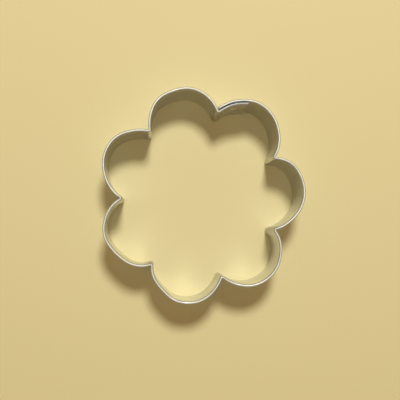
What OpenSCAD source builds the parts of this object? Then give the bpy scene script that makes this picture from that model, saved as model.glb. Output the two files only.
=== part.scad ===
// Seven-petal flower cutter for biscuit dough and pastry.
// One tinplate strip is hemmed along its top edge and bent round the flower.
// Its two ends lap in the seam petal, where spot welds close the ring.
// The cutting edge lies on z = 0 and the hemmed edge is on top.

/* [Flower] */
// Number of petals
petal_n = 7; // [7:1:12]
// Radius of each petal, to the middle of the sheet
petal_r = 13.15; // [12:0.05:16]
// Mean radius of the ring that the petal centres sit on
ring_r = 27.05; // [24:0.05:28]
// How far the springy ring is longer along Y, and shorter along X, than a true one
out_of_round = 1.05; // [0:0.05:1.5]
// Direction of the seam petal, counter-clockwise from +X
seam_dir = 53.3; // [0:0.1:360]

/* [Strip] */
// Height of the cutter
height = 22; // [15:0.5:40]
// Thickness of the sheet
sheet = 0.3; // [0.2:0.05:0.4]
// Radius left between the two hems inside the fold of a valley
crease_r = 0.1; // [0.1:0.05:1]

/* [Hem] */
// Gap inside the turn of the hem
hem_gap = 0.4; // [0.2:0.05:0.8]
// Length of the leg that hangs from the turn, outside the wall
hem_leg = 2; // [1:0.1:4]
// Gap between the lower edge of the leg and the wall
hem_tip = 0.05; // [0.02:0.01:0.1]

/* [Lap seam] */
// Length of the inner lap, from the valley fold to its end
lap_l = 11.5; // [9:0.5:20]
// Gap between the hem of the inner lap and the outer lap
lap_clear = 0.2; // [0.05:0.01:0.3]
// Gap between the end of the outer lap and the hem of the next petal
end_clear = 0.3; // [0.1:0.05:1]

/* [Spot welds] */
// Number of welds, one above another
weld_n = 2; // [1:1:4]
// Diameter of a weld
weld_d = 2.2; // [1.5:0.1:2.6]
// Width of the flat floor that the electrode leaves round a weld
weld_margin = 0.3; // [0.2:0.05:0.5]
// Width of the sloping side of a dimple
dimple_w = 0.7; // [0.6:0.05:0.9]
// Gap left between the floors of the two dimples
floor_gap = 0.05; // [0.02:0.01:0.1]
// How far a weld's face lies below the floor of its dimple
weld_sink = 0.04; // [0.02:0.01:0.1]

/* [Hidden] */
$fn = 96;

// The sheet is squeezed a little thicker where it is folded
fold_swell = 0.01;
// How far a petal's bend runs on into the fold next to it
joint_run = 0.02;
// Facets round the turn of the hem, an even number so that one corner is on its crown
turn_steps = 10;

// Hem: its middle line turns over at turn_r, and its leg leans back to the wall
turn_r = (hem_gap + sheet) / 2;
turn_z = height - turn_r - sheet / 2 - fold_swell;
hem_w = 2 * turn_r + sheet;
hem_out = hem_w - sheet / 2;
hem_lean = acos((hem_tip - hem_gap / 2) / norm([hem_gap / 2, hem_leg])) - atan2(hem_leg, hem_gap / 2);
flat_h = turn_z - turn_r * sin(hem_lean) - hem_leg * cos(hem_lean);

// Bends: the fold's own hem just clears the axis that the fold turns about
fold_r = hem_out + crease_r;

// Laps: one lies just outside the seam petal's own radius and the other just inside
lap_pitch = hem_w + lap_clear;
outer_r = petal_r + lap_pitch / 2;
inner_r = petal_r - lap_pitch / 2;

// Petal centres, counter-clockwise from the seam petal, with the middle of the whole at the origin
function petal_dir(i) = seam_dir + i * 360 / petal_n;
raw = [for (i = [0 : petal_n - 1])
    [(ring_r - out_of_round) * cos(petal_dir(i)), (ring_r + out_of_round) * sin(petal_dir(i))]];
raw_x = [for (p = raw) p.x];
raw_y = [for (p = raw) p.y];
middle = [max(raw_x) + min(raw_x), max(raw_y) + min(raw_y)] / 2;
petals = [for (p = raw) p - middle];

function direction(from, to) = atan2(to.y - from.y, to.x - from.x);
function turn(start, end) = (end - start + 720) % 360;
function next(i) = (i + 1) % petal_n;

// The point at distance ra from a and rb from b, on the outer side of the flower
function meet(a, b, ra, rb) =
    let (d = norm(b - a), u = (b - a) / d, along = (d * d + ra * ra - rb * rb) / (2 * d))
    a + along * u + sqrt(ra * ra - along * along) * [u.y, -u.x];

// Fold i lies between petal i and the next one.
// Fold 0 leaves the inner lap, and the last fold enters the outer lap.
function leaving_r(i) = i == 0 ? inner_r : petal_r;
function entering_r(i) = next(i) == 0 ? outer_r : petal_r;
folds = [for (i = [0 : petal_n - 1])
    meet(petals[i], petals[next(i)], leaving_r(i) + fold_r, entering_r(i) + fold_r)];

// Seam: directions are about the middle of the seam petal
hem_r = outer_r + hem_out;
reach_r = petal_r + hem_out + end_clear;
seam_d = norm(petals[1] - petals[0]);
outer_end = direction(petals[0], petals[1])
    - acos((hem_r * hem_r + seam_d * seam_d - reach_r * reach_r) / (2 * hem_r * seam_d));
lap_start = direction(petals[0], folds[0]);
inner_end = lap_start - lap_l / inner_r * 180 / PI;
weld_dir = (outer_end + inner_end) / 2;
floor_r = weld_d / 2 + weld_margin;

// Section of the strip: x is measured outwards from the middle of the sheet
module strip_section(swell) {
    half = sheet / 2 + swell;
    arc = concat([for (k = [0 : turn_steps]) 180 - 180 * k / turn_steps], [-hem_lean]);
    tip = [turn_r, turn_z] - (hem_leg + swell) * [sin(hem_lean), cos(hem_lean)];
    across = [cos(hem_lean), -sin(hem_lean)];
    outside = [for (a = arc) [turn_r, turn_z] + (turn_r + half) * [cos(a), sin(a)]];
    inside = [for (k = [len(arc) - 1 : -1 : 0])
        [turn_r, turn_z] + (turn_r - half) * [cos(arc[k]), sin(arc[k])]];
    polygon(concat(
        [[half, 0], [-half, 0]],
        outside,
        [tip + (turn_r + half) * across, tip + (turn_r - half) * across],
        inside
    ));
}

// A bend about a petal's middle, with the hem outwards
module petal_bend(centre, radius, from, to) {
    translate(centre)
        rotate(from)
            rotate_extrude(angle = turn(from, to))
                translate([radius, 0])
                    strip_section(0);
}

// A bend the other way, about a point outside the flower
module valley_fold(i) {
    from = direction(folds[i], petals[next(i)]);
    to = direction(folds[i], petals[i]);
    translate(folds[i])
        rotate(from)
            rotate_extrude(angle = turn(from, to))
                translate([fold_r, 0])
                    mirror([1, 0])
                        strip_section(fold_swell);
}

// Places a shape at each weld, with its z axis along the radius of the seam petal
module at_welds() {
    for (k = [0 : weld_n - 1])
        translate([petals[0].x, petals[0].y, flat_h * (k + 0.5) / weld_n])
            rotate([0, 90, weld_dir])
                children();
}

// A cone whose floor is at height z, and which widens upwards or downwards
module dimple_cone(z, up) {
    slope = dimple_w / (lap_pitch / 2 - sheet / 2 - floor_gap / 2);
    translate([0, 0, z])
        mirror([0, 0, up ? 0 : 1])
            cylinder(h = lap_pitch, r1 = floor_r, r2 = floor_r + slope * lap_pitch);
}

module cutter_band() {
    run = joint_run / petal_r * 180 / PI;
    outer_floor = petal_r + floor_gap / 2;
    inner_floor = petal_r - floor_gap / 2;
    color("gainsboro")
        difference() {
            union() {
                for (i = [1 : petal_n - 1])
                    petal_bend(petals[i], petal_r,
                        direction(petals[i], folds[i - 1]) - run,
                        direction(petals[i], folds[i]) + run);
                for (i = [0 : petal_n - 1])
                    valley_fold(i);
                petal_bend(petals[0], outer_r, direction(petals[0], folds[petal_n - 1]) - run, outer_end);
                petal_bend(petals[0], inner_r, inner_end, lap_start + run);
                intersection() {
                    at_welds()
                        dimple_cone(outer_floor, true);
                    translate(petals[0])
                        cylinder(h = height, r = outer_r);
                }
                difference() {
                    at_welds()
                        dimple_cone(inner_floor, false);
                    translate(petals[0])
                        cylinder(h = height, r = inner_r);
                }
            }
            at_welds() {
                dimple_cone(outer_floor + sheet, true);
                dimple_cone(inner_floor - sheet, false);
                cylinder(h = outer_r + sheet, d = weld_d);
            }
        }
}

// Each weld fills the holes in both dimples' floors
module spot_welds() {
    reach = sheet + floor_gap / 2 - weld_sink;
    color("darkgray")
        at_welds()
            translate([0, 0, petal_r - reach])
                cylinder(h = 2 * reach, d = weld_d);
}

cutter_band();
spot_welds();
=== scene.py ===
import math

import bpy
from mathutils import Matrix, Vector


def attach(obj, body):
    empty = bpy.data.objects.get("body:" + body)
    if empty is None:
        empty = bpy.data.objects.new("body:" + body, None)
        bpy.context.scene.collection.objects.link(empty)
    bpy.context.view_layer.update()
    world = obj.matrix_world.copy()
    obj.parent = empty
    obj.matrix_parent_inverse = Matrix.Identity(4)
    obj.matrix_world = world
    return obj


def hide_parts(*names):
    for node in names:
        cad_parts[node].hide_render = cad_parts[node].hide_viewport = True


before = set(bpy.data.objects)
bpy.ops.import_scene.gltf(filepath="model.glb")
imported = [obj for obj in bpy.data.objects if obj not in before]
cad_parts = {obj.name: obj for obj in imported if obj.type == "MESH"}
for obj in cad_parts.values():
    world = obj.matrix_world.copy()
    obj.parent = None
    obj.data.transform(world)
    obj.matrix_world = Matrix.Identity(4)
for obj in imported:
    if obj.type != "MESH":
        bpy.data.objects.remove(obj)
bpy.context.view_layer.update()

MM = 0.001

# The flower
PETALS = 7
PETAL_R = 13.15 * MM
RING_R = 27.05 * MM
OUT_OF_ROUND = 1.05 * MM
SEAM_DIR = math.radians(53.3)

# The strip and its hem
HEIGHT = 22 * MM
SHEET = 0.3 * MM
CREASE_R = 0.1 * MM
HEM_GAP = 0.4 * MM
HEM_LEG = 2 * MM
HEM_TIP = 0.05 * MM
FOLD_SWELL = 0.01 * MM

# The lap seam and its welds
LAP_L = 11.5 * MM
LAP_CLEAR = 0.2 * MM
END_CLEAR = 0.3 * MM
WELDS = 2
WELD_D = 2.2 * MM
WELD_MARGIN = 0.3 * MM
DIMPLE_W = 0.7 * MM
FLOOR_GAP = 0.05 * MM
WELD_SINK = 0.04 * MM

# How finely the strip is divided
BEND_STEP = 1.0 * MM
LAP_STEP = 0.35 * MM
FOLD_STEP = math.radians(12)
HEM_STEPS = 12
WALL_STEP = 1.0 * MM
WELD_ROW_STEP = 0.35 * MM
WELD_REACH = 2.5 * MM
WELD_SIDES = 48

# Worked out as the strip is bent
TURN_R = (HEM_GAP + SHEET) / 2
TURN_Z = HEIGHT - TURN_R - SHEET / 2 - FOLD_SWELL
HEM_W = 2 * TURN_R + SHEET
HEM_OUT = HEM_W - SHEET / 2
HEM_LEAN = (math.acos((HEM_TIP - HEM_GAP / 2) / math.hypot(HEM_GAP / 2, HEM_LEG))
            - math.atan2(HEM_LEG, HEM_GAP / 2))
FLAT_H = TURN_Z - TURN_R * math.sin(HEM_LEAN) - HEM_LEG * math.cos(HEM_LEAN)
FOLD_R = HEM_OUT + CREASE_R
LAP_PITCH = HEM_W + LAP_CLEAR
OUTER_R = PETAL_R + LAP_PITCH / 2
INNER_R = PETAL_R - LAP_PITCH / 2
FLOOR_R = WELD_D / 2 + WELD_MARGIN
WELD_HEIGHTS = [FLAT_H * (k + 0.5) / WELDS for k in range(WELDS)]

# The dish in a weld, as insets from its rim: how wide each one is, and how far it sinks
WELD_DISH = ((0.15 * MM, 0.0), (0.25 * MM, 0.03 * MM), (0.3 * MM, 0.02 * MM))

# Soft edges: how wide they are on the sheet and on a weld, and the least corner that is softened
CUT_EDGE = 0.05 * MM
WELD_EDGE = 0.03 * MM
SOFT_CORNER = math.radians(50)
SOFT_STEPS = 2
SMOOTH_CORNER = math.radians(35)

# The waves of the springy wall along X and Y, how deep they are in all, and the width that the ring keeps
WAVE_SIZES = {"X": 18 * MM, "Y": 14.4 * MM}
WAVE_DEPTH = 0.08 * MM
DRAWN_IN = 0.9995

# How far each valley of the hand-bent flower is from its even place, in X and Y, in the folds' order
VALLEY_PUSH = [(x * MM, y * MM) for x, y in (
    (0, 0), (0.2, -0.5), (-0.9, -0.6), (-0.4, -0.7), (-0.4, 0.5), (0.5, -0.8), (0.5, -0.4))]
VALLEY_REACH = 12 * MM

# How far the bends are off a true circle: the petal, the angle from its own direction, and how far outwards
PETAL_PUSH = [(petal, math.radians(angle), push * MM) for petal, angle, push in (
    (1, 5, -0.5), (2, -50, -0.35), (2, 64, -0.35), (3, -25, 0.4), (3, 18, -0.35), (4, -42, -0.55),
    (5, 50, -0.3), (6, 50, 0.4), (6, -62, -0.45))]

# Half the width of the stretch that is pushed, and how far along the strip its neighbours follow
BEND_HALF = 0.6 * MM
BEND_REACH = 8 * MM

# How near a petal's circle both its wall and its hem lie
WALL_AND_HEM = 2 * MM

# How far outwards the two laps and their welds are off the seam petal's circle, and half that stretch
LAP_PUSH = -0.6 * MM
LAP_HALF = 2.6 * MM

# The darker hem beside the outer lap: how far below the top, and how far into that lap
DARK_HEM_DEPTH = 1 * MM
DARK_HEM_SKIN = 0.025 * MM

# How far along the inner lap it is darker, as a share of its length, and how dark it is at the start
DARK_HEM_ALONG = 1.01
DARK_HEM_START = 0.35

UP = Vector((0, 0, 1))


def direction(start, end):
    """The angle, from +X, at which end lies as seen from start."""
    return math.atan2(end.y - start.y, end.x - start.x)


def turn(start, end):
    """How far it is from one angle on to the other, counter-clockwise."""
    return (end - start) % (2 * math.pi)


def polar(radius, angle):
    """The level vector of that length and direction."""
    return Vector((radius * math.cos(angle), radius * math.sin(angle), 0))


def petal_direction(i):
    """The even direction of a petal. Petal 0 is the seam petal."""
    return SEAM_DIR + i * 2 * math.pi / PETALS


def petal_centres():
    """The petals' centres, counter-clockwise from the seam petal, about the middle of the whole."""
    raw = []
    for i in range(PETALS):
        x = (RING_R - OUT_OF_ROUND) * math.cos(petal_direction(i))
        y = (RING_R + OUT_OF_ROUND) * math.sin(petal_direction(i))
        raw.append(Vector((x, y, 0)))
    across = [p.x for p in raw]
    upright = [p.y for p in raw]
    middle = Vector((max(across) + min(across), max(upright) + min(upright), 0)) / 2
    return [p - middle for p in raw]


def meet(a, b, reach_a, reach_b):
    """The point at distance reach_a from a and reach_b from b, on the outer side of the flower."""
    span = (b - a).length
    ahead = (b - a) / span
    outwards = Vector((ahead.y, -ahead.x, 0))
    along = (span * span + reach_a * reach_a - reach_b * reach_b) / (2 * span)
    return a + along * ahead + math.sqrt(reach_a * reach_a - along * along) * outwards


centres = petal_centres()
leaving = [INNER_R] + [PETAL_R] * (PETALS - 1)
entering = [PETAL_R] * (PETALS - 1) + [OUTER_R]
folds = [meet(centres[i], centres[(i + 1) % PETALS], leaving[i] + FOLD_R, entering[i] + FOLD_R)
         for i in range(PETALS)]
hem_r = OUTER_R + HEM_OUT
reach_r = PETAL_R + HEM_OUT + END_CLEAR
seam_d = (centres[1] - centres[0]).length
outer_end = direction(centres[0], centres[1]) - math.acos(
    (hem_r ** 2 + seam_d ** 2 - reach_r ** 2) / (2 * hem_r * seam_d))
lap_start = direction(centres[0], folds[0])
inner_end = lap_start - LAP_L / INNER_R
weld_dir = (outer_end + inner_end) / 2

# The bench: the strip is formed about the seam petal's centre, with the welds' axis along +X
to_bench = Matrix.Rotation(-weld_dir, 4, "Z") @ Matrix.Translation(-centres[0])
bench_centres = [to_bench @ c for c in centres]
bench_folds = [to_bench @ f for f in folds]


def take(obj):
    """Makes obj the active object and the only one selected."""
    bpy.ops.object.select_all(action="DESELECT")
    bpy.context.view_layer.objects.active = obj
    obj.select_set(True)


def edit(obj, kind="VERT"):
    """Opens obj in edit mode with nothing selected."""
    take(obj)
    bpy.ops.object.mode_set(mode="EDIT")
    bpy.ops.mesh.select_mode(type=kind)
    bpy.ops.mesh.select_all(action="DESELECT")


def done():
    """Back to object mode, which writes the edit into the mesh."""
    bpy.ops.object.mode_set(mode="OBJECT")


def pick(obj, test):
    """Selects the vertices whose place passes the test, and nothing else, in edit mode."""
    bpy.ops.mesh.select_all(action="DESELECT")
    bpy.ops.object.mode_set(mode="OBJECT")
    for vertex in obj.data.vertices:
        vertex.select = test(vertex.co)
    bpy.ops.object.mode_set(mode="EDIT")


def settle(obj):
    """Puts the object's turn and place into its mesh."""
    take(obj)
    bpy.ops.object.transform_apply(location=True, rotation=True, scale=True)


def apply_modifiers(obj):
    """Works the object's modifiers into its mesh, in their order."""
    take(obj)
    for modifier in list(obj.modifiers):
        bpy.ops.object.modifier_apply(modifier=modifier.name)


def swing(centre, angle, step):
    """Sweeps the selected end of the strip about an upright axis, counter-clockwise for a positive angle."""
    bpy.ops.mesh.spin(steps=max(1, round(abs(angle) / step)), angle=-angle, center=centre, axis=UP)


def wall_rows():
    """Heights at which the wall is divided, closer together beside the welds."""
    rows = [SHEET]
    while rows[-1] < TURN_Z - WALL_STEP:
        near = any(abs(rows[-1] + WELD_ROW_STEP - z) < WELD_REACH for z in WELD_HEIGHTS)
        rows.append(rows[-1] + (WELD_ROW_STEP if near else WALL_STEP))
    return rows[1:] + [TURN_Z]


def strip_end():
    """The strip's section at the inner lap's end: a small square drawn up and turned over into the hem."""
    start = inner_end - weld_dir
    outward = polar(1, start)
    along = polar(1, start + math.pi / 2)
    bpy.ops.object.select_all(action="DESELECT")
    bpy.ops.mesh.primitive_plane_add(size=SHEET, rotation=(math.pi / 2, 0, start),
                                     location=outward * INNER_R + UP * SHEET / 2)
    strip = bpy.context.object
    strip.name = "cutter_band_formed"
    settle(strip)
    edit(strip)
    pick(strip, lambda co: co.z > SHEET / 2)
    low = SHEET
    for row in wall_rows():
        bpy.ops.mesh.extrude_region_move(TRANSFORM_OT_translate={"value": (0, 0, row - low)})
        low = row
    bpy.ops.mesh.spin(steps=HEM_STEPS, angle=-(math.pi + HEM_LEAN),
                      center=outward * (INNER_R + TURN_R) + UP * TURN_Z, axis=along)
    leg = (-outward * math.sin(HEM_LEAN) - UP * math.cos(HEM_LEAN)) * HEM_LEG / 2
    for _ in range(2):
        bpy.ops.mesh.extrude_region_move(TRANSFORM_OT_translate={"value": leg})
    done()
    return strip


def form_strip():
    """The strip bent round the flower: inner lap, then fold and petal in turn, then the outer lap."""
    strip = strip_end()
    edit(strip, "FACE")
    bpy.ops.mesh.select_all(action="SELECT")
    swing(bench_centres[0], lap_start - inner_end, LAP_STEP / INNER_R)
    for i in range(PETALS):
        after = (i + 1) % PETALS
        fold = bench_folds[i]
        centre = bench_centres[after]
        swing(fold, -turn(direction(fold, centre), direction(fold, bench_centres[i])), FOLD_STEP)
        if after:
            bend = turn(direction(centre, fold), direction(centre, bench_folds[after]))
            swing(centre, bend, BEND_STEP / PETAL_R)
    seam_centre = bench_centres[0]
    lap_begins = -LAP_L / 2 / OUTER_R
    swing(seam_centre, turn(direction(seam_centre, bench_folds[-1]), lap_begins), BEND_STEP / OUTER_R)
    swing(seam_centre, outer_end - weld_dir - lap_begins, LAP_STEP / OUTER_R)
    bpy.ops.mesh.select_all(action="SELECT")
    bpy.ops.mesh.normals_make_consistent(inside=False)
    done()
    return strip


def press_dimples(strip):
    """Presses each lap flat round its welds, both faces alike, and the sheet slopes away round the floor."""
    half_gap = FLOOR_GAP / 2
    pressed = [
        (OUTER_R - SHEET / 2, PETAL_R + half_gap),
        (INNER_R + SHEET / 2, PETAL_R - half_gap),
        (OUTER_R + SHEET / 2, PETAL_R + half_gap + SHEET),
        (INNER_R - SHEET / 2, PETAL_R - half_gap - SHEET)]
    edit(strip)
    for face_r, floor_x in pressed:
        for z in WELD_HEIGHTS:
            pick(strip, lambda co: co.x > 0 and math.hypot(co.y, co.z - z) < FLOOR_R
                 and abs(math.hypot(co.x, co.y) - face_r) < SHEET / 4)
            bpy.ops.transform.resize(value=(0, 1, 1), center_override=(floor_x, 0, z),
                                     use_proportional_edit=True, proportional_edit_falloff="SMOOTH",
                                     proportional_size=DIMPLE_W, use_proportional_connected=True)
    done()


def cut_weld_holes(strip):
    """Takes each weld's disc out of both laps, so that the weld itself can fill the hole."""
    for z in WELD_HEIGHTS:
        bpy.ops.object.select_all(action="DESELECT")
        bpy.ops.mesh.primitive_cylinder_add(vertices=WELD_SIDES, radius=WELD_D / 2, depth=4 * LAP_PITCH,
                                            rotation=(0, math.pi / 2, 0), location=(PETAL_R, 0, z))
        cutter = bpy.context.object
        settle(cutter)
        hole = strip.modifiers.new("weld_hole", "BOOLEAN")
        hole.operation = "DIFFERENCE"
        hole.solver = "MANIFOLD"
        hole.object = cutter
        apply_modifiers(strip)
        bpy.data.objects.remove(cutter)


def weld_mark(z, name):
    """One spot weld: a short slug through both laps, dished on each face by the electrodes."""
    reach = SHEET + FLOOR_GAP / 2 - WELD_SINK
    bpy.ops.object.select_all(action="DESELECT")
    bpy.ops.mesh.primitive_cylinder_add(vertices=WELD_SIDES, radius=WELD_D / 2, depth=2 * reach,
                                        rotation=(0, math.pi / 2, 0), location=(PETAL_R + LAP_PUSH, 0, z))
    slug = bpy.context.object
    slug.name = name
    settle(slug)
    edit(slug, "FACE")
    done()

    # The two round ends face along X
    for face in slug.data.polygons:
        face.select = abs(face.normal.x) > 0.9
    bpy.ops.object.mode_set(mode="EDIT")
    for width, sink in WELD_DISH:
        bpy.ops.mesh.inset(thickness=width, depth=-sink)
    done()
    return slug


def soften_edges(obj, width):
    """Rounds off the sharp edges that cutting the sheet leaves."""
    bevel = obj.modifiers.new("soft_edges", "BEVEL")
    bevel.width = width
    bevel.segments = SOFT_STEPS
    bevel.limit_method = "ANGLE"
    bevel.angle_limit = SOFT_CORNER
    bevel.use_clamp_overlap = False
    bevel.harden_normals = False
    apply_modifiers(obj)


def spring(obj):
    """The slight waves that a springy strip keeps after it is bent. They draw the ring in a little in X."""
    for axis, size in WAVE_SIZES.items():
        waves = bpy.data.textures.new("waves_" + axis, "CLOUDS")
        waves.noise_scale = size
        waves.noise_depth = 0
        push = obj.modifiers.new("spring_" + axis, "DISPLACE")
        push.texture = waves
        push.texture_coords = "LOCAL"
        push.direction = axis
        push.mid_level = 0.5
        push.strength = WAVE_DEPTH
    apply_modifiers(obj)
    edit(obj)
    bpy.ops.mesh.select_all(action="SELECT")
    bpy.ops.transform.resize(value=(DRAWN_IN, 1, 1), center_override=(0, 0, 0))
    done()


def place(obj):
    """Moves a formed piece from the bench to its place on the flower."""
    obj.matrix_world = to_bench.inverted()
    settle(obj)


def mark_dark_lap_hem(strip):
    """Marks the inner lap's hem and the face beside it, darker more towards the lap's end."""
    lap_hem_dark = strip.data.attributes.new("lap_hem_dark", "FLOAT", "POINT")
    reach = OUTER_R - SHEET / 2 + DARK_HEM_SKIN
    for vertex, value in zip(strip.data.vertices, lap_hem_dark.data):
        along = turn(direction(centres[0], vertex.co), lap_start) * INNER_R / LAP_L
        at_lap = along < DARK_HEM_ALONG and (vertex.co - centres[0]).xy.length < reach
        if at_lap and vertex.co.z > HEIGHT - DARK_HEM_DEPTH:
            value.value = min(1, DARK_HEM_START + along)


def push_along(way, reach):
    """Moves what is selected, in edit mode, and what is joined to it within reach follows less and less."""
    bpy.ops.transform.translate(value=way, use_proportional_edit=True, proportional_edit_falloff="SMOOTH",
                                proportional_size=reach, use_proportional_connected=True)


def nudge_valleys(strip):
    """The valleys of a hand-bent strip aren't quite even: each is pushed a little, and its petals follow."""
    edit(strip)
    for fold, (x, y) in zip(folds, VALLEY_PUSH):
        pick(strip, lambda co: math.hypot(co.x - fold.x, co.y - fold.y) < 2 * FOLD_R)
        push_along(Vector((x, y, 0)), VALLEY_REACH)
    done()


def nudge_bend(strip, petal, angle, half, push):
    """Pushes one stretch of a petal's bend in or out, from top to bottom, and its neighbours follow."""
    centre = centres[petal]
    edit(strip)
    pick(strip, lambda co: abs((co - centre).xy.length - PETAL_R) < WALL_AND_HEM
         and abs(math.remainder(direction(centre, co) - angle, 2 * math.pi)) < half / PETAL_R)
    push_along(polar(push, angle), BEND_REACH)
    done()


def smooth(obj):
    """Shades the surface smooth, apart from its sharp corners."""
    take(obj)
    bpy.ops.object.shade_smooth_by_angle(angle=SMOOTH_CORNER)


band = form_strip()
press_dimples(band)
cut_weld_holes(band)
soften_edges(band, CUT_EDGE)
place(band)
mark_dark_lap_hem(band)
nudge_valleys(band)
nudge_bend(band, 0, weld_dir, LAP_HALF, LAP_PUSH)
for petal, angle, push in PETAL_PUSH:
    nudge_bend(band, petal, petal_direction(petal) + angle, BEND_HALF, push)
spring(band)
smooth(band)

welds = [weld_mark(z, f"spot_weld_{k + 1}") for k, z in enumerate(WELD_HEIGHTS)]
for weld in welds:
    soften_edges(weld, WELD_EDGE)
    place(weld)
    spring(weld)
    smooth(weld)


# Materials

def add(tree, kind, inputs=None, **settings):
    """Adds a node. Its inputs are numbers, colours or other nodes' outputs, by name or by number."""
    node = tree.nodes.new(kind)
    for name, value in settings.items():
        setattr(node, name, value)
    for name, value in (inputs or {}).items():
        if isinstance(value, bpy.types.NodeSocket):
            tree.links.new(value, node.inputs[name])
        else:
            node.inputs[name].default_value = value
    return node


def maths(tree, operation, *values):
    """The result of a calculation on numbers or on other nodes' outputs."""
    return add(tree, "ShaderNodeMath", dict(enumerate(values)), operation=operation).outputs[0]


def but_not(tree, value):
    """1 where value is 0, and 0 where it is 1."""
    return maths(tree, "SUBTRACT", 1.0, value)


def fade(tree, value, low, high):
    """0 below low and 1 above high, with a smooth step between."""
    node = add(tree, "ShaderNodeMapRange", {"Value": value, "From Min": low, "From Max": high},
               interpolation_type="SMOOTHSTEP")
    return node.outputs["Result"]


# Where the mix node has its two colours and their result
MIX_FIRST, MIX_SECOND, MIX_RESULT = 6, 7, 2


def blend_colours(tree, share, first, second):
    """Turns from the first colour to the second as share goes from 0 to 1."""
    node = add(tree, "ShaderNodeMix", {"Factor": share, MIX_FIRST: first, MIX_SECOND: second},
               data_type="RGBA")
    return node.outputs[MIX_RESULT]


def new_group(name, inputs, outputs):
    """A node group, with its input and output nodes."""
    tree = bpy.data.node_groups.new(name, "ShaderNodeTree")
    for socket, kind, value in inputs:
        made = tree.interface.new_socket(name=socket, in_out="INPUT", socket_type=kind)
        if value is not None:
            made.default_value = value
    for socket, kind in outputs:
        tree.interface.new_socket(name=socket, in_out="OUTPUT", socket_type=kind)
    return tree, tree.nodes.new("NodeGroupInput").outputs, tree.nodes.new("NodeGroupOutput").inputs


def use(tree, group, inputs):
    """Adds a node for the group, and gives its outputs."""
    return add(tree, "ShaderNodeGroup", inputs, node_tree=group).outputs


def rgb(red, green, blue):
    return (red, green, blue, 1.0)


FLOAT = "NodeSocketFloat"
VECTOR = "NodeSocketVector"

# Colours of the metals, of what lies on them, and of the highlight and shade painted on them
TIN_BRIGHT = rgb(0.66, 0.66, 0.65)
TIN_DULL = rgb(0.58, 0.58, 0.58)
WELD_BRIGHT = rgb(0.66, 0.65, 0.63)
WELD_DULL = rgb(0.56, 0.55, 0.53)
DARK_BROWN = rgb(0.32, 0.28, 0.22)
STRAW = rgb(0.70, 0.56, 0.34)
BLUE = rgb(0.42, 0.44, 0.52)
# Rubbed metal for scratches and the cutting edge; on the hem's ridge its cream tint is a painted highlight
RUBBED_AND_HIGHLIGHT = rgb(0.64, 0.58, 0.44)
# Dull dark tin: on the hem's shoulders partly tarnish and partly a painted dark reflection
DARK_TIN = rgb(0.34, 0.33, 0.29)

# Depths below the top between which the ridge, rubbed and with a painted highlight, ends, and between which
# the shoulders' tarnish and painted dark reflection end
RIDGE = (0.02 * MM, 0.07 * MM)
SHOULDERS = (0.4 * MM, 0.9 * MM)

# Heights between which the rubbed cutting edge ends
RUBBED_EDGE = (0.1 * MM, 0.7 * MM)

# Distances from a weld's middle between which each colour of the heat ends, the straw ring also bounding the
# painted shade over the dimples, and how ragged they are
STRAW_RING = (1.5 * MM, 2.6 * MM)
BLUE_RING = (1.1 * MM, 1.7 * MM)
RAGGED = 0.8 * MM

# How far from a valley fold the metal is darker and rougher
CREASE_REACH = 1.6 * MM

# How fine the patterns are, in waves for each metre along X, Y and Z
LINE_WAVES = 4200.0
LONG_WAVES = 60.0
SCRATCHES_ALONG = (LONG_WAVES, LONG_WAVES, 6500)
SCRATCHES_UP = (5200, 5200, LONG_WAVES)
SCRATCH_PATCHES = (90, 90, 90)
SMUDGE_WAVES = 60.0
WEAR_WAVES = (400, 400, 400)
HEAT_WAVES = (500, 500, 500)

# How the scratches' patterns are turned off the axes, in radians
ALONG_TURN = (0.03, -0.02, 0)
UP_TURN = (0.06, 0.05, 0.4)
PATCH_TURN = (0.3, 0.2, 0.1)

# Values of the noise between which each pattern comes up
ALONG_SHOWS = (0.70, 0.78)
UP_SHOWS = (0.72, 0.80)
PATCHES_SHOW = (0.3, 0.8)
SMUDGES_SHOW = (0.35, 0.7)
RIDGE_SHOWS = (0.15, 0.45)
EDGE_SHOWS = (0.35, 0.6)

# How much the shoulders' tarnish and painted dark reflection follow the noise, and their least
SHOULDER_DARK_SWING = 0.5
SHOULDER_DARK_LEAST = 0.6


def stretched_noise(tree, place_socket, scale, turned=(0, 0, 0), detail=2.0):
    """Noise between 0 and 1, as fine along each axis as scale says."""
    mapped = add(tree, "ShaderNodeMapping", {"Vector": place_socket, "Rotation": turned, "Scale": scale})
    noise = add(tree, "ShaderNodeTexNoise", {"Vector": mapped.outputs[0], "Scale": 1.0, "Detail": detail})
    return noise.outputs["Fac"]


def rolling_lines_group():
    """Fine lines along the strip, which the sheet keeps from the mill's rolls."""
    tree, given, out = new_group("rolling_lines", [("Place", VECTOR, None), ("Fineness", FLOAT, LINE_WAVES)],
                                 [("Lines", FLOAT)])
    stretch = add(tree, "ShaderNodeCombineXYZ", {"X": LONG_WAVES, "Y": LONG_WAVES, "Z": given["Fineness"]})
    mapped = add(tree, "ShaderNodeMapping", {"Vector": given["Place"], "Scale": stretch.outputs[0]})
    noise = add(tree, "ShaderNodeTexNoise", {"Vector": mapped.outputs[0], "Scale": 1.0, "Detail": 3.0})
    tree.links.new(noise.outputs["Fac"], out["Lines"])
    return tree


def scratches_group():
    """Sparse hair scratches, some along the strip and some up and down it."""
    tree, given, out = new_group("scratches", [("Place", VECTOR, None), ("Amount", FLOAT, 0.5)],
                                 [("Scratches", FLOAT)])
    along = stretched_noise(tree, given["Place"], SCRATCHES_ALONG, ALONG_TURN, detail=1.0)
    upright = stretched_noise(tree, given["Place"], SCRATCHES_UP, UP_TURN, detail=1.0)
    patchy = stretched_noise(tree, given["Place"], SCRATCH_PATCHES, PATCH_TURN)
    both = maths(tree, "MAXIMUM", fade(tree, along, *ALONG_SHOWS), fade(tree, upright, *UP_SHOWS))
    sparse = maths(tree, "MULTIPLY", both, fade(tree, patchy, *PATCHES_SHOW))
    shown = maths(tree, "MULTIPLY", sparse, given["Amount"])
    tree.links.new(shown, out["Scratches"])
    return tree


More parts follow.
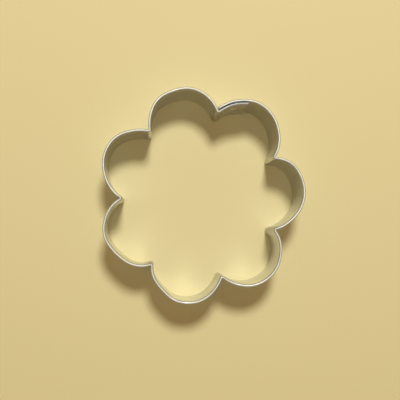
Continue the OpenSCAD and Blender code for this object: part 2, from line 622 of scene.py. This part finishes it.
def smudges_group():
    """Soft cloudy marks that hands and washing leave."""
    tree, given, out = new_group("smudges", [("Place", VECTOR, None), ("Fineness", FLOAT, SMUDGE_WAVES)],
                                 [("Smudges", FLOAT)])
    broad = add(tree, "ShaderNodeTexNoise", {"Vector": given["Place"], "Scale": given["Fineness"],
                                             "Detail": 2.0, "Roughness": 0.4, "Distortion": 0.2})
    tree.links.new(fade(tree, broad.outputs["Fac"], *SMUDGES_SHOW), out["Smudges"])
    return tree


def worn_edges_and_rim_light_group():
    """The ridge of the hem and the cutting edge, rubbed bright, the ridge with a painted highlight too, and
    on the hem's shoulders tarnish with a painted dark reflection.
    """
    tree, given, out = new_group("worn_edges_and_rim_light", [("Place", VECTOR, None), ("Top", FLOAT, HEIGHT)],
                                 [("Ridge", FLOAT), ("Shoulders", FLOAT), ("Cutting edge", FLOAT)])
    height = add(tree, "ShaderNodeSeparateXYZ", {"Vector": given["Place"]}).outputs["Z"]
    patchy = stretched_noise(tree, given["Place"], WEAR_WAVES, detail=3.0)
    below = maths(tree, "SUBTRACT", given["Top"], height)
    past_ridge = fade(tree, below, *RIDGE)
    shoulders = maths(tree, "SUBTRACT", past_ridge, fade(tree, below, *SHOULDERS))
    edge = but_not(tree, fade(tree, height, *RUBBED_EDGE))
    uneven = maths(tree, "MULTIPLY_ADD", patchy, SHOULDER_DARK_SWING, SHOULDER_DARK_LEAST)
    worn_parts = (
        ("Ridge", but_not(tree, past_ridge), fade(tree, patchy, *RIDGE_SHOWS)),
        ("Shoulders", shoulders, uneven),
        ("Cutting edge", edge, fade(tree, patchy, *EDGE_SHOWS)))
    for name, part, share in worn_parts:
        tree.links.new(maths(tree, "MULTIPLY", part, share), out[name])
    return tree


def weld_heat_group():
    """How near a point is to a weld: the straw ring of the heat, which also carries the painted shade over
    the dimples, and the blue inside it.
    """
    tree, given, out = new_group("weld_heat", [("Place", VECTOR, None)], [("Straw and shade", FLOAT), ("Blue", FLOAT)])
    gaps = []
    for z in WELD_HEIGHTS:
        centre = to_bench.inverted() @ Vector((PETAL_R + LAP_PUSH, 0, z))
        gap = add(tree, "ShaderNodeVectorMath", {0: given["Place"], 1: centre}, operation="DISTANCE")
        gaps.append(gap.outputs["Value"])
    nearest = gaps[0]
    for gap in gaps[1:]:
        nearest = maths(tree, "MINIMUM", nearest, gap)
    off_even = maths(tree, "SUBTRACT", stretched_noise(tree, given["Place"], HEAT_WAVES), 0.5)
    nearest = maths(tree, "MULTIPLY_ADD", off_even, RAGGED, nearest)
    tree.links.new(but_not(tree, fade(tree, nearest, *STRAW_RING)), out["Straw and shade"])
    tree.links.new(but_not(tree, fade(tree, nearest, *BLUE_RING)), out["Blue"])
    return tree


rolling_lines = rolling_lines_group()
scratches = scratches_group()
smudges = smudges_group()
worn_edges_and_rim_light = worn_edges_and_rim_light_group()
weld_heat = weld_heat_group()


def metal_material(name, bright, dull, roughness, line_depth, heat):
    """A tinned metal with rolling lines, scratches, smudges, rubbed edges with a painted highlight on the
    hem's ridge and painted dark reflection on its shoulders, darker valley folds and inner lap hem, painted
    shade over the weld dimples, and the heat of the welds.
    """
    material = bpy.data.materials.new(name)
    material.use_nodes = True
    tree = material.node_tree
    tree.nodes.clear()
    here = add(tree, "ShaderNodeTexCoord").outputs["Object"]
    lines = use(tree, rolling_lines, {"Place": here, "Fineness": LINE_WAVES})["Lines"]
    hairs = use(tree, scratches, {"Place": here, "Amount": 0.8})["Scratches"]
    marks = use(tree, smudges, {"Place": here, "Fineness": SMUDGE_WAVES})["Smudges"]
    wear_and_rim_light = use(tree, worn_edges_and_rim_light, {"Place": here, "Top": HEIGHT})
    hot = use(tree, weld_heat, {"Place": here})
    crease = add(tree, "ShaderNodeAttribute", attribute_name="crease").outputs["Fac"]
    lap_hem_dark = add(tree, "ShaderNodeAttribute", attribute_name="lap_hem_dark").outputs["Fac"]
    worn_and_highlit = maths(tree, "MAXIMUM", wear_and_rim_light["Ridge"], wear_and_rim_light["Cutting edge"])

    # Each layer over the last: where it is, how thick, and its colour
    layers = (
        # Darker near the valley folds
        (crease, 0.55, DARK_BROWN),
        # Painted shade over the weld dimples, partly grime: it dims their bright reflection
        (hot["Straw and shade"], 0.5, DARK_BROWN),
        (hot["Straw and shade"], heat, STRAW),
        (hot["Blue"], heat, BLUE),
        (hairs, 0.3, RUBBED_AND_HIGHLIGHT),
        # Painted dark reflection beside the crown, partly tarnish
        (wear_and_rim_light["Shoulders"], 0.9, DARK_TIN),
        # Rubbed cutting edge and ridge; on the ridge also a painted highlight
        (worn_and_highlit, 1.0, RUBBED_AND_HIGHLIGHT),
        # The inner lap's hem, darker towards the lap's end
        (lap_hem_dark, 0.9, DARK_TIN))
    colour = blend_colours(tree, marks, bright, dull)
    for mask, thickness, layer in layers:
        colour = blend_colours(tree, maths(tree, "MULTIPLY", mask, thickness), colour, layer)

    # What makes the metal less smooth, and by how much
    roughened = (
        (marks, 0.06), (crease, 0.15), (hairs, 0.06), (hot["Straw and shade"], 0.2), (wear_and_rim_light["Shoulders"], 0.15),
        (wear_and_rim_light["Ridge"], 0.42))
    rough = roughness
    for mask, more in roughened:
        rough = maths(tree, "MULTIPLY_ADD", mask, more, rough)

    # The scratches are grooves in the rolling lines
    relief = maths(tree, "MULTIPLY_ADD", hairs, -0.3, lines)
    bump = add(tree, "ShaderNodeBump", {"Strength": 0.35, "Distance": line_depth, "Height": relief})
    shader = add(tree, "ShaderNodeBsdfPrincipled", {"Base Color": colour, "Metallic": 1.0, "Roughness": rough,
                                                    "Normal": bump.outputs["Normal"]})
    add(tree, "ShaderNodeOutputMaterial", {"Surface": shader.outputs["BSDF"]})
    return material


def mark_creases(strip):
    """Writes how near each point is to a valley fold, where the metal is made darker and rougher."""
    crease = strip.data.attributes.new("crease", "FLOAT", "POINT")
    for vertex, value in zip(strip.data.vertices, crease.data):
        near = min((vertex.co - fold).xy.length for fold in folds)
        value.value = math.exp(-(near / CREASE_REACH) ** 2)


mark_creases(band)
tinplate = metal_material("tinplate", TIN_BRIGHT, TIN_DULL,
                          roughness=0.21, line_depth=0.004 * MM, heat=0.25)
weld_metal = metal_material("weld_metal", WELD_BRIGHT, WELD_DULL,
                            roughness=0.33, line_depth=0.02 * MM, heat=0.5)

band.data.materials.clear()
band.data.materials.append(tinplate)
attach(band, "root")
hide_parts("cutter_band")
for weld in welds:
    weld.data.materials.clear()
    weld.data.materials.append(weld_metal)
    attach(weld, "root")
    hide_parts("spot_welds")


# Floor

FLOOR_SIZE = 3.0
FLOOR_COLOUR = rgb(0.86, 0.74, 0.37)
HORIZON = rgb(0.62, 0.61, 0.58)

# Distances from the cutter between which the floor turns into the backdrop
SWEEP = (0.15, 0.9)


def backdrop_rays(tree):
    """1 for the rays that see the backdrop: straight from the camera, or by way of metal or glass."""
    ray = add(tree, "ShaderNodeLightPath").outputs
    return maths(tree, "MAXIMUM", maths(tree, "MAXIMUM", ray["Is Camera Ray"], ray["Is Glossy Ray"]),
                 ray["Is Transmission Ray"])


def floor():
    """Plain paper that turns into the backdrop's colour well away from the cutter."""
    bpy.ops.object.select_all(action="DESELECT")
    bpy.ops.mesh.primitive_plane_add(size=FLOOR_SIZE)
    plane = bpy.context.object
    plane.name = "floor"
    material = bpy.data.materials.new("floor_paper")
    material.use_nodes = True
    tree = material.node_tree
    tree.nodes.clear()
    paper = add(tree, "ShaderNodeBsdfPrincipled", {"Base Color": FLOOR_COLOUR, "Roughness": 0.9,
                                                   "Specular IOR Level": 0.1})
    here = add(tree, "ShaderNodeTexCoord").outputs["Object"]
    away = add(tree, "ShaderNodeVectorMath", {0: here}, operation="LENGTH").outputs["Value"]
    sweep = add(tree, "ShaderNodeEmission", {"Color": HORIZON, "Strength": 1.0})
    share = maths(tree, "MULTIPLY", fade(tree, away, *SWEEP), backdrop_rays(tree))
    either = add(tree, "ShaderNodeMixShader", {0: share, 1: paper.outputs[0], 2: sweep.outputs[0]})
    add(tree, "ShaderNodeOutputMaterial", {"Surface": either.outputs[0]})
    plane.data.materials.append(material)


floor()


# Light

KEY_SIZE = 0.16
KEY_POWER = 4.1
KEY_COLOUR = (0.96, 1.0, 1.06)
KEY_DISTANCE = 0.8
KEY_ELEVATION = math.radians(63.5)
KEY_SIDE = math.radians(6)
SOFT_LIGHT = rgb(0.29, 0.21, 0.14)

# The backdrop from the horizon up: how high, and its colour
BACKDROP = ((0.0, HORIZON), (0.6, rgb(0.80, 0.80, 0.78)), (1.0, rgb(0.92, 0.92, 0.91)))


def key_light():
    """One round lamp from the top of the picture and a little from the right, aimed at the cutter."""
    lamp = bpy.data.lights.new("key", "AREA")
    lamp.shape = "DISK"
    lamp.size = KEY_SIZE
    lamp.energy = KEY_POWER
    lamp.color = KEY_COLOUR
    holder = bpy.data.objects.new("key", lamp)
    bpy.context.scene.collection.objects.link(holder)
    level = math.cos(KEY_ELEVATION) * KEY_DISTANCE
    height = math.sin(KEY_ELEVATION) * KEY_DISTANCE
    holder.location = (level * math.sin(KEY_SIDE), level * math.cos(KEY_SIDE), height)
    holder.rotation_euler = (-holder.location).to_track_quat("-Z", "Y").to_euler()


def studio_world():
    """Soft even light on the cutter, and for the camera and reflections a backdrop that is paler overhead."""
    world = bpy.data.worlds.new("studio")
    bpy.context.scene.world = world
    world.use_nodes = True
    tree = world.node_tree
    tree.nodes.clear()
    way = add(tree, "ShaderNodeTexCoord").outputs["Generated"]
    height = add(tree, "ShaderNodeSeparateXYZ", {"Vector": way}).outputs["Z"]
    ramp = add(tree, "ShaderNodeValToRGB", {"Fac": height})
    stops = ramp.color_ramp.elements
    stops.new(BACKDROP[1][0])
    for stop, (position, colour) in zip(stops, BACKDROP):
        stop.position = position
        stop.color = colour
    soft = add(tree, "ShaderNodeBackground", {"Color": SOFT_LIGHT, "Strength": 1.0})
    backdrop = add(tree, "ShaderNodeBackground", {"Color": ramp.outputs["Color"], "Strength": 1.0})
    either = add(tree, "ShaderNodeMixShader", {0: backdrop_rays(tree), 1: soft.outputs[0],
                                               2: backdrop.outputs[0]})
    add(tree, "ShaderNodeOutputWorld", {"Surface": either.outputs[0]})


key_light()
studio_world()


# Camera

LENS = 61.47
CAMERA_AT = Vector((-18.65, -13.9, 280.0)) * MM
CAMERA_AIM = Vector((-0.39, -1.04, 0.0)) * MM
PICTURE_TOP = Vector((0, 1, 0))


def photo_camera():
    """Looks down on the cutter as the photograph does."""
    lens = bpy.data.cameras.new("photo_view")
    lens.lens = LENS
    lens.sensor_width = 36
    lens.clip_start = 0.01
    lens.clip_end = 10
    camera = bpy.data.objects.new("photo_view", lens)
    bpy.context.scene.collection.objects.link(camera)
    forward = (CAMERA_AIM - CAMERA_AT).normalized()
    right = forward.cross(PICTURE_TOP).normalized()
    upward = right.cross(forward)
    turned = Matrix((right, upward, -forward)).transposed().to_4x4()
    camera.matrix_world = Matrix.Translation(CAMERA_AT) @ turned
    bpy.context.scene.camera = camera


photo_camera()

bpy.context.scene.view_settings.view_transform = "Standard"
